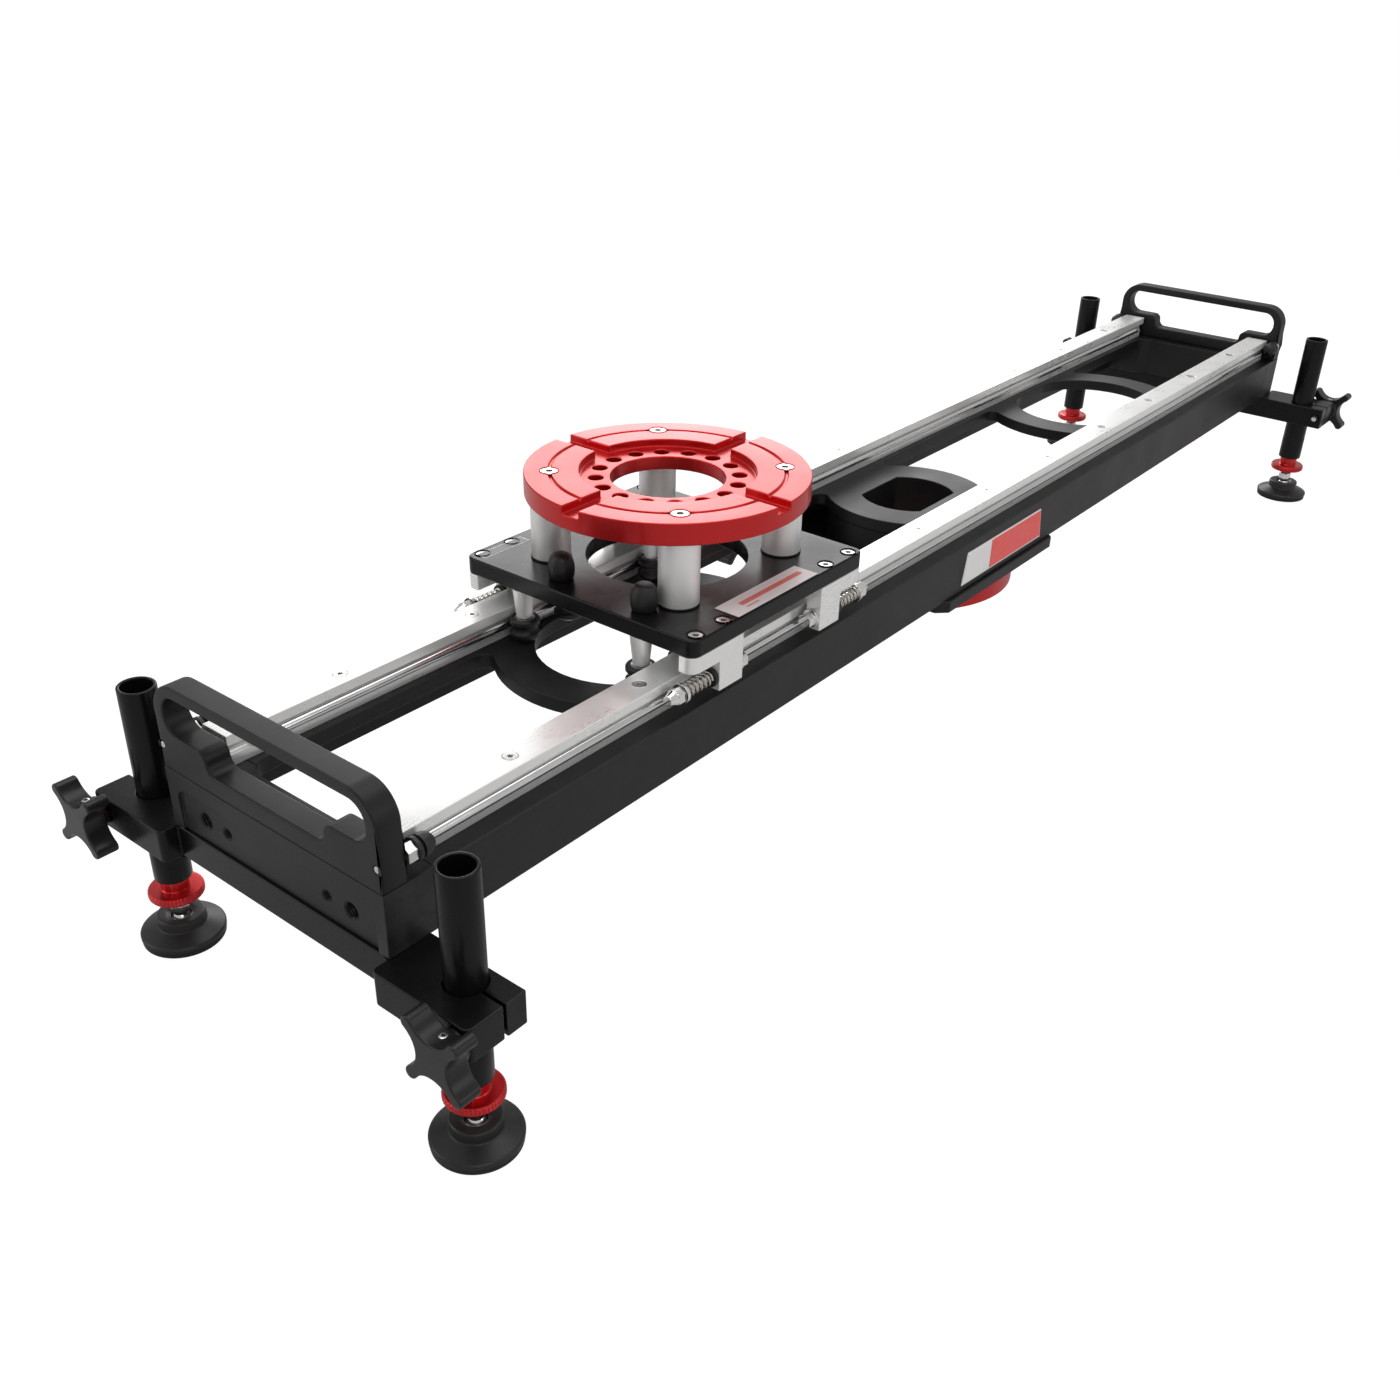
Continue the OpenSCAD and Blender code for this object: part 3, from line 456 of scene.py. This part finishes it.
threadLook = dict(large=(60.0, 4.7, 1.6), small=(41.0, 3.12, 1.27), height=14.0, recess=2.0, proud=0.15)
threadDepth, threadReach = 0.45, 15
for end in ("left", "right"):
    low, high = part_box(f"end_block_{end}")
    sx = -1 if end == "left" else 1
    faceX = (low.x if sx < 0 else high.x) - sx * threadLook["recess"] * mm
    for label in ("large", "small"):
        offset, radius, pitch = threadLook[label]
        for sy in (-1, 1):
            inner, height = [], -0.3
            while height > -threadReach:
                inner += [(radius, height), (radius - threadDepth, height - pitch / 2)]
                height -= pitch
            mouth = [(radius + 0.75, -0.02), (radius, -0.75)]
            wall = [(radius + 0.03, height), (radius + 0.03, -0.9)]
            mesh = latheMesh("threadRing", mouth + inner[1:] + wall, 48)
            centreZ = low.z + threadLook["height"] * mm
            spot = (faceX + sx * threadLook["proud"] * mm, sy * offset * mm, centreZ)
            place(mesh, spot, (sx, 0, 0))
            name = f"thread_{label}_{end}_{'front' if sy < 0 else 'rear'}"
            addPiece(name, mesh, "black_gloss", "frame", ())
print("bumpers and threads done")

# ---- plaque on the near side, in two plain fields

plaqueLook = dict(divide=-22.0, gap=1.0, margin=3.6, slant=2.2, inset=1.3, lift=0.35)
bevelled("side_badge", "badge_silver", 0.25, 2)
low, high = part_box("side_badge")


def plaqueField(name, x0, x1, slantLeft, slantRight, finishName):
    work = bmesh.new()
    inset, lift = plaqueLook["inset"] * mm, plaqueLook["lift"] * mm
    z0, z1, y = low.z + inset, high.z - inset, low.y
    outline = [(x0 - slantLeft, z0), (x1 + slantRight, z0), (x1 - slantRight, z1), (x0 + slantLeft, z1)]
    back = [work.verts.new((x, y + 0.1 * mm, z)) for x, z in outline]
    front = [work.verts.new((x, y - lift, z)) for x, z in outline]
    work.faces.new(front)
    for k in range(4):
        work.faces.new((back[k], back[(k + 1) % 4], front[(k + 1) % 4], front[k]))
    bmesh.ops.recalc_face_normals(work, faces=work.faces)
    mesh = bpy.data.meshes.new(name)
    work.to_mesh(mesh)
    work.free()
    piece = addPiece(name, mesh, finishName, "frame", ())
    soften = piece.modifiers.new("softEdges", "BEVEL")
    soften.width, soften.segments = 0.12 * mm, 2
    return piece


slant, margin = plaqueLook["slant"] * mm, plaqueLook["margin"] * mm
divide, gap = plaqueLook["divide"] * mm, plaqueLook["gap"] * mm
plaqueField("plaqueFieldRed", divide, high.x - margin, 0, slant, "badge_red")
plaqueField("plaqueFieldSilver", low.x + margin, divide - gap, slant, 0, "badge_silver")

# ---- legs: tube, levelling nut, stud, foot, clamp knob

tubeLook = dict(seam=67.0, lip=0.7, upper=10.85, lower=11.0, bore=8.8, low=6.3, plug=20.0)
nutLook = dict(flange=16.45, thick=5.7, hub=8.4, bore=6.3, knurl=0.55, rows=12, steps=180, ridges=45)
studLook = dict(thread=6.15, depth=0.5, pitch=1.5, hexLow=20.0, hexHigh=25.6, neck=4.4, ball=6.8,
                flat=6.2, core=5.2, ballAt=7.0)
footLook = dict(rim=25.0, collar=14.2, socket=7.05, ballAt=11.5)


def tubeMesh(low, high):
    seam = tubeLook["seam"]
    narrow, lower, upper, bore = (tubeLook[key] for key in ("low", "lower", "upper", "bore"))
    step = low + tubeLook["plug"]
    outer = [(narrow, low), (lower, low), (lower, seam - 0.4), (upper - 0.35, seam), (upper, seam + 0.4),
             (upper, high), (bore, high), (bore, step), (narrow, step)]
    return latheMesh("legTube", roundedCorners(outer, tubeLook["lip"]), 96)


def nutMesh(low, high):
    flange, hub, rows = nutLook["flange"], nutLook["hub"], nutLook["rows"]
    top, bore = low + nutLook["thick"], nutLook["bore"]
    start = [(bore, low), (hub + 4.5, low), (flange - 1.1, low + 0.15)]
    band = [(flange, low + 0.8 + (top - low - 1.6) * k / rows) for k in range(rows + 1)]
    end = [(flange - 1.1, top - 0.15), (flange - 3.0, top), (hub + 0.6, top), (hub, top + 0.6),
           (hub, high - 0.5), (hub - 0.5, high), (bore, high)]
    first, last = len(start), len(start) + rows

    def knurl(row, k):
        if row < first or row > last:
            return 0
        along, turn = (row - first) / rows * 4.0, k / nutLook["steps"] * nutLook["ridges"]
        a = abs(((turn + along) % 1) - 0.5) * 2
        b = abs(((turn - along) % 1) - 0.5) * 2
        edge = 0.5 if row in (first, last) else 0
        return -nutLook["knurl"] * (1 - min(a, b)) - edge

    return latheMesh("levellingNut", start + band + end, nutLook["steps"], wave=knurl)


def studMesh(centre, top):  # ball, neck, key flats and ridges
    ballR, neckR, flatR, coreR = (studLook[key] for key in ("ball", "neck", "flat", "core"))
    hexLow, hexHigh, thread = (studLook[key] for key in ("hexLow", "hexHigh", "thread"))
    turns = [math.pi * k / 16 for k in range(12)]
    ball = [(ballR * math.sin(a), centre - ballR * math.cos(a)) for a in turns]
    neck = [(neckR, centre + 5.6), (neckR, hexLow - 0.6), (coreR, hexLow)]
    flats = [(flatR, hexLow + 0.3), (flatR, hexHigh - 0.3), (coreR, hexHigh)]
    steps, ridges, height = 72, [], hexHigh + 0.8
    while height < top - 1.2:
        ridges += [(thread - studLook["depth"], height), (thread, height + studLook["pitch"] / 2)]
        height += studLook["pitch"]
    profile = ball + neck + flats + ridges + [(coreR, top - 0.3), (0, top - 0.3)]
    first = len(ball) + len(neck)

    def keyFlats(row, k):
        if row not in (first, first + 1):
            return 0
        turn = (2 * math.pi * k / steps) % (math.pi / 3) - math.pi / 6
        return flatR * (math.cos(math.pi / 6) / math.cos(turn) - 1)

    return latheMesh("footStud", profile, steps, closed=False, wave=keyFlats)


def footMesh():
    rim, collar = footLook["rim"], footLook["collar"]
    outline = [(0, 4.4), (0, 3.0), (rim - 1.2, 3.0), (rim - 0.2, 3.5), (rim - 0.05, 6.0), (rim - 0.9, 6.9),
               (collar + 1.2, 10.4), (collar + 0.1, 11.0), (collar, 16.6), (collar - 0.9, 17.4),
               (8.4, 17.4), (6.1, 15.6)]
    socketR, centre = footLook["socket"], footLook["ballAt"]
    socket = []
    for degrees in (118, 105, 90, 70, 50, 30, 12):
        a = math.radians(degrees)
        socket.append((socketR * math.sin(a), centre - socketR * math.cos(a)))
    return latheMesh("foot", roundedCorners(outline, 0.45, False) + socket, 96)


def soleMesh():
    rim = footLook["rim"]
    outline = [(0.0, 0.0), (rim - 2.2, 0.0), (rim - 0.7, 0.5), (rim - 0.55, 1.3), (rim - 1.1, 1.6),
               (rim - 0.6, 1.9), (rim - 0.6, 2.9), (0.0, 2.9)]
    return latheMesh("sole", outline, 96, closed=False)


setScrewIn = 9.0  # from the knob's outer face to the small screw on its upper side
tipR, tipRise = 3.9, 1.2
for end, side in corners:
    name = f"{end}_{side}"
    sx = -1 if end == "left" else 1
    low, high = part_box(f"leg_tube_{name}")
    centre = boxMiddle(f"leg_tube_{name}")
    spot = Vector((centre.x, centre.y, 0))
    tube = place(tubeMesh(low.z / mm, high.z / mm), spot)
    addPiece(f"legTube_{name}", tube, "black_gloss", f"leg_{name}", (f"leg_tube_{name}",))
    low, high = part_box(f"levelling_nut_{name}")
    nut = place(nutMesh(low.z / mm, high.z / mm), spot)
    nutNode = f"levelling_nut_{name}"
    addPiece(f"levellingNut_{name}", nut, "red_anodised", f"nut_{name}", (nutNode,), smooth=30)
    low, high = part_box(f"foot_stud_{name}")
    stud = place(studMesh(low.z / mm + studLook["ballAt"], high.z / mm), spot)
    addPiece(f"footStud_{name}", stud, "chrome", f"stud_{name}", (f"foot_stud_{name}",), smooth=30)
    addPiece(f"foot_{name}", place(footMesh(), spot), "black_foot", f"foot_{name}", (f"foot_{name}",))
    addPiece(f"sole_{name}", place(soleMesh(), spot), "black_rubber", f"foot_{name}", ())

    bevelled(f"clamp_knob_{name}", "black_plastic", 1.0, 3)
    low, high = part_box(f"clamp_knob_{name}")
    middle = (low + high) / 2
    outerX = low.x if sx < 0 else high.x
    screwOutline = [(0, 9.4), (1.1, 9.4), (1.1, 10.7), (1.9, 10.7), (2.3, 10.5), (2.3, 9.6),
                    (2.3, 9.0), (0, 9.0)]
    setScrew = latheMesh("knobSetScrew", screwOutline, 32, closed=False)
    place(setScrew, (outerX - sx * setScrewIn * mm, middle.y, middle.z))
    addPiece(f"knobSetScrew_{name}", setScrew, "steel_screws", f"knob_{name}")
    tip = low.x if sx > 0 else high.x
    dome = [(tipR + 0.05, -3.0), (tipR + 0.05, -tipRise)]
    for k in range(1, 7):
        a = math.pi / 2 * k / 6
        dome.append((tipR * math.cos(a), -tipRise + tipRise * math.sin(a)))
    boltTip = latheMesh("clampBoltTip", dome, 40, closed=False)
    place(boltTip, (tip + sx * -0.25 * mm, middle.y, middle.z), (-sx, 0, 0))
    addPiece(f"clampBoltTip_{name}", boltTip, "chrome", f"knob_{name}")
bevelled("lock_knob", "black_plastic", 1.0, 3)
print("legs done")

# ---- carriage

carriageLook = dict(plateEdge=1.1, bracketEdge=0.6, mountEdge=0.8, labelEdge=0.25)
bevelled("carriage_plate", "black_gloss", carriageLook["plateEdge"])
bevelled("bracket_blocks", "clear_anodised", carriageLook["bracketEdge"])
bevelled("riser_posts", "turned_silver", 0.5)
bevelled("top_mount", "red_turned", carriageLook["mountEdge"])
bevelled("carriage_screws", "steel_screws", 0.2, 2)
bevelled("roller_spacers", "turned_silver", 0.3, 2)
bevelled("roller_bolts", "steel_screws", 0.25, 2)
bevelled("label_plate", "label_grey", carriageLook["labelEdge"], 2)

postLow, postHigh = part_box("riser_posts")
postRadius = 12.6
for sx in (-1, 1):
    for sy in (-1, 1):
        x = (postLow.x + postRadius * mm) if sx < 0 else (postHigh.x - postRadius * mm)
        y = (postLow.y + postRadius * mm) if sy < 0 else (postHigh.y - postRadius * mm)
        # a thin black ring at each post's foot, a painted contact shadow where the post meets the plate
        inner, outer = postRadius - 0.5, postRadius + 0.5
        outline = roundedCorners([(inner, 0.05), (outer, 0.05), (outer, 1.2), (inner, 1.2)], 0.3)
        ring = place(latheMesh("postRing", outline, 64), (x, y, postLow.z))
        name = f"postRing_{'left' if sx < 0 else 'right'}_{'front' if sy < 0 else 'rear'}"
        addPiece(name, ring, "black_rubber", "carriage")

domeLow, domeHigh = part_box("rest_domes")
domeRadius = 8.5
for sy, label in ((-1, "front"), (1, "rear")):
    outline = [(0, 0), (6.9, 0), (7.6, 0.8), (8.2, 3.5), (8.45, 6.5), (8.2, 9.5), (7.5, 12.6),
               (6.3, 15.2), (4.6, 16.5), (2.4, 16.9), (0, 16.95)]
    dome = latheMesh("restDome", roundedCorners(outline, 1.2, False), 56, closed=False)
    y = domeLow.y + domeRadius * mm if sy < 0 else domeHigh.y - domeRadius * mm
    place(dome, ((domeLow.x + domeHigh.x) / 2, y, domeLow.z))
    addPiece(f"restDome_{label}", dome, "black_rubber", "carriage", ("rest_domes",))

# ---- marks on the plate: plain bars on the pale label, and a dark strip with a pale rim at the rear edge

labelLow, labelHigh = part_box("label_plate")
plateLow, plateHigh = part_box("carriage_plate")
stripLook = dict(left=5.5, right=45.0, rear=5.0, front=13.5, rim=0.5, lift=0.15, fieldLift=0.25)


def labelBar(name, corner, size, base, lift, finishName):
    work = bmesh.new()
    (x, y), (wide, deep) = corner, size
    outline = [(x, y), (x + wide * mm, y), (x + wide * mm, y + deep * mm), (x, y + deep * mm)]
    bottom = [work.verts.new((px, py, base - 0.05 * mm)) for px, py in outline]
    top = [work.verts.new((px, py, base + lift * mm)) for px, py in outline]
    work.faces.new(top)
    for k in range(4):
        work.faces.new((bottom[k], bottom[(k + 1) % 4], top[(k + 1) % 4], top[k]))
    mesh = bpy.data.meshes.new(name)
    work.to_mesh(mesh)
    work.free()
    addPiece(name, mesh, finishName, "carriage", ())


wideBar = (labelLow.x + 14 * mm, labelLow.y + 7.5 * mm)
shortBar = (labelLow.x + 14 * mm, labelLow.y + 4 * mm)
labelBar("labelBarWide", wideBar, (62, 4), labelHigh.z, 0.05, "label_red")
labelBar("labelBarShort", shortBar, (12, 1), labelHigh.z, 0.05, "label_red")
stripCorner = (plateLow.x + stripLook["left"] * mm, plateHigh.y - stripLook["front"] * mm)
stripSize = (stripLook["right"] - stripLook["left"], stripLook["front"] - stripLook["rear"])
rim = stripLook["rim"]
labelBar("stripRim", stripCorner, stripSize, plateHigh.z, stripLook["lift"], "badge_silver")
fieldCorner = (stripCorner[0] + rim * mm, stripCorner[1] + rim * mm)
fieldSize = (stripSize[0] - 2 * rim, stripSize[1] - 2 * rim)
fieldLift = stripLook["fieldLift"]
labelBar("stripField", fieldCorner, fieldSize, plateHigh.z, fieldLift, "label_dark")
print("carriage done")

# ---- rollers: a grooved tyre on a bearing sleeve

rollerLook = dict(flange=9.55, half=6.95, groove=3.3, grooveAt=11.1, sleeve=6.5, bore=3.05, spread=63)


def tyreOutline():
    flange, half, groove = (rollerLook[key] for key in ("flange", "half", "groove"))
    inner, spread = rollerLook["sleeve"] + 0.03, rollerLook["spread"]
    arc = []
    for k in range(13):
        a = math.radians(-spread + 2 * spread * k / 12)
        arc.append((rollerLook["grooveAt"] - groove * math.cos(a), groove * math.sin(a)))
    bottom = [(inner, -half), (flange - 1.2, -half), (flange, -half + 1.4)]
    top = [(flange, half - 1.4), (flange - 1.2, half), (inner, half)]
    return roundedCorners(bottom + arc + top, 0.4)


def sleeveOutline():
    bore, rim, half = rollerLook["bore"], rollerLook["sleeve"], rollerLook["half"] - 0.3
    return roundedCorners([(bore, -half), (rim, -half), (rim, half), (bore, half)], 0.4)


for number in range(1, 9):
    node = f"roller_{number}"
    middle = boxMiddle(node)
    tyre = place(latheMesh("rollerTyre", tyreOutline(), 72), middle)
    addPiece(f"rollerTyre_{number}", tyre, "black_rubber", bodyOf[node], (node,))
    sleeve = place(latheMesh("rollerSleeve", sleeveOutline(), 56), middle)
    addPiece(f"rollerSleeve_{number}", sleeve, "steel_screws", bodyOf[node])
print("rollers done")

# ---- buffers: bolt with nuts, washer, and a round-wire coil

bufferLook = dict(wire=0.62, coil=4.0, turns=6.5, start=66.4, end=89.9, perTurn=22, sides=8,
                  keep=0.485, washerAt=63.6, tipAt=90.2)


def coilMesh(name):
    work = bmesh.new()
    look = bufferLook
    total = int(look["turns"] * look["perTurn"])
    rings = []
    for k in range(total + 1):
        share = k / total
        flat = min(1.0, max(0.0, (share - 0.06) / 0.88))  # closed turns at both ends
        turn = 2 * math.pi * look["turns"] * share
        along = look["start"] + look["wire"] + (look["end"] - look["start"] - 2 * look["wire"]) * flat
        out = Vector((0, math.cos(turn), math.sin(turn)))
        ring = []
        for s in range(look["sides"]):
            a = 2 * math.pi * s / look["sides"]
            reach = look["coil"] + look["wire"] * math.cos(a)
            point = out * reach + Vector((along + look["wire"] * math.sin(a), 0, 0))
            ring.append(work.verts.new(point * mm))
        rings.append(ring)
    for a, b in zip(rings, rings[1:]):
        for s in range(look["sides"]):
            n = (s + 1) % look["sides"]
            work.faces.new((a[s], a[n], b[n], b[s]))
    work.faces.new(rings[0])
    work.faces.new(rings[-1])
    bmesh.ops.recalc_face_normals(work, faces=work.faces)
    mesh = bpy.data.meshes.new(name)
    work.to_mesh(mesh)
    work.free()
    return mesh


plateMiddle = boxMiddle("carriage_plate")
for end, side in corners:
    name = f"{end}_{side}"
    sx = -1 if end == "left" else 1
    bolt = boxMiddle(f"buffer_bolt_{name}")
    bevelled(f"buffer_bolt_{name}", "chrome", 0.3, 2)
    turned = Matrix.Rotation(math.pi if sx < 0 else 0, 4, "Z")
    coil = coilMesh("bufferCoil")
    coil.transform(Matrix.Translation((plateMiddle.x, bolt.y, bolt.z)) @ turned)
    piece = addPiece(f"bufferCoil_{name}", coil, "spring_steel", "carriage", ("buffer_springs",))
    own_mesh(piece)
    washer = washerMesh("bufferWasher", 3.1, 6.3, 2.6, 0.4, 48)
    place(washer, (plateMiddle.x + sx * bufferLook["washerAt"] * mm, bolt.y, bolt.z), (sx, 0, 0))
    addPiece(f"bufferWasher_{name}", washer, "black_rubber", "carriage")
    tipWasher = washerMesh("bufferTipWasher", 3.1, 6.2, 2.4, 0.4, 48)
    place(tipWasher, (plateMiddle.x + sx * bufferLook["tipAt"] * mm, bolt.y, bolt.z), (sx, 0, 0))
    addPiece(f"bufferTipWasher_{name}", tipWasher, "black_rubber", f"buffer_{name}", ())
print("buffers done")

# ---- floor, light and camera

floorMesh = bpy.data.meshes.new("floor")
floorHalf, floorZ = 30, -0.0005
floorSigns = ((-1, -1), (1, -1), (1, 1), (-1, 1))
floorCorners = [(sx * floorHalf, sy * floorHalf, floorZ) for sx, sy in floorSigns]
floorMesh.from_pydata(floorCorners, [], [(0, 1, 2, 3)])
floor = bpy.data.objects.new("floor", floorMesh)
bpy.context.scene.collection.objects.link(floor)
floorFinish = bpy.data.materials.new("paleFloor")
floorFinish.use_nodes = True
floorTree = floorFinish.node_tree
floorTree.nodes["Principled BSDF"].inputs["Base Color"].default_value = (0.64, 0.64, 0.64, 1)
floorTree.nodes["Principled BSDF"].inputs["Roughness"].default_value = 0.9
sweep = addNode(floorTree, "ShaderNodeEmission")
sweep.inputs["Strength"].default_value = 1.24
blend = addNode(floorTree, "ShaderNodeMixShader")
seen = addNode(floorTree, "ShaderNodeLightPath")
floorTree.links.new(mathNode(floorTree, "MULTIPLY", seen.outputs["Is Camera Ray"], 0.76), blend.inputs[0])
floorTree.links.new(floorTree.nodes["Principled BSDF"].outputs[0], blend.inputs[1])
floorTree.links.new(sweep.outputs[0], blend.inputs[2])
floorTree.links.new(blend.outputs[0], floorTree.nodes["Material Output"].inputs["Surface"])
floorMesh.materials.append(floorFinish)

studioLook = dict(backdrop=1.1, room=0.48)
world = bpy.data.worlds.new("studio")
world.use_nodes = True
worldTree = world.node_tree
room = worldTree.nodes["Background"]
room.inputs["Strength"].default_value = studioLook["room"]
room.inputs["Color"].default_value = (1.0, 0.995, 0.985, 1)
backdrop = addNode(worldTree, "ShaderNodeBackground")
backdrop.inputs["Color"].default_value = (1, 1, 1, 1)
backdrop.inputs["Strength"].default_value = studioLook["backdrop"]
pick = addNode(worldTree, "ShaderNodeMixShader")
worldTree.links.new(addNode(worldTree, "ShaderNodeLightPath").outputs["Is Camera Ray"], pick.inputs[0])
worldTree.links.new(room.outputs[0], pick.inputs[1])
worldTree.links.new(backdrop.outputs[0], pick.inputs[2])
worldTree.links.new(pick.outputs[0], worldTree.nodes["World Output"].inputs["Surface"])
bpy.context.scene.world = world
bpy.context.scene.view_settings.view_transform = "Standard"


def addLight(name, at, target, size, brightness, tint=(1, 1, 1)):
    lamp = bpy.data.lights.new(name, "AREA")
    lamp.shape = "RECTANGLE"
    lamp.size, lamp.size_y = size
    lamp.energy = brightness * math.pi * size[0] * size[1]
    lamp.color = tint
    holder = bpy.data.objects.new(name, lamp)
    holder.location = at
    holder.rotation_mode = "QUATERNION"
    holder.rotation_quaternion = (Vector(target) - Vector(at)).to_track_quat("-Z", "Y")
    bpy.context.scene.collection.objects.link(holder)


addLight("backSoftbox", (1.55, 1.65, 1.12), (-0.3, 0, 0.15), (2.2, 0.9), 3.4)
addLight("overheadSoftbox", (0.1, 0.1, 2.4), (0, 0, 0), (2.4, 1.3), 1.8)
addLight("leftStrip", (-1.7, 1.2, 0.9), (-0.3, 0, 0.1), (0.5, 1.2), 2.2)
addLight("frontFill", (-1.4, -1.6, 2.0), (-0.3, 0, 0.15), (1.5, 1.5), 1.0)
addLight("rightStrip", (0.3, -2.0, 0.9), (-0.1, 0, 0.1), (0.6, 1.0), 1.6)

cameraLook = dict(at=(-0.94902, -0.52773, 0.55255), yaw=37.76, pitch=-29.49, roll=1.57, lens=36.03)
yaw, pitch, roll = (math.radians(cameraLook[key]) for key in ("yaw", "pitch", "roll"))
forward = Vector((math.cos(pitch) * math.cos(yaw), math.cos(pitch) * math.sin(yaw), math.sin(pitch)))
right = Vector((math.sin(yaw), -math.cos(yaw), 0))
up = right.cross(forward)
tiltedRight = right * math.cos(roll) + up * math.sin(roll)
tiltedUp = up * math.cos(roll) - right * math.sin(roll)
cameraData = bpy.data.cameras.new("camera")
cameraData.lens, cameraData.sensor_width = cameraLook["lens"], 36.0
cameraData.clip_start, cameraData.clip_end = 0.05, 60
camera = bpy.data.objects.new("camera", cameraData)
bpy.context.scene.collection.objects.link(camera)
camera.matrix_world = Matrix((
    (tiltedRight.x, tiltedUp.x, -forward.x, cameraLook["at"][0]),
    (tiltedRight.y, tiltedUp.y, -forward.y, cameraLook["at"][1]),
    (tiltedRight.z, tiltedUp.z, -forward.z, cameraLook["at"][2]),
    (0, 0, 0, 1)))
bpy.context.scene.camera = camera

print("scene ready")
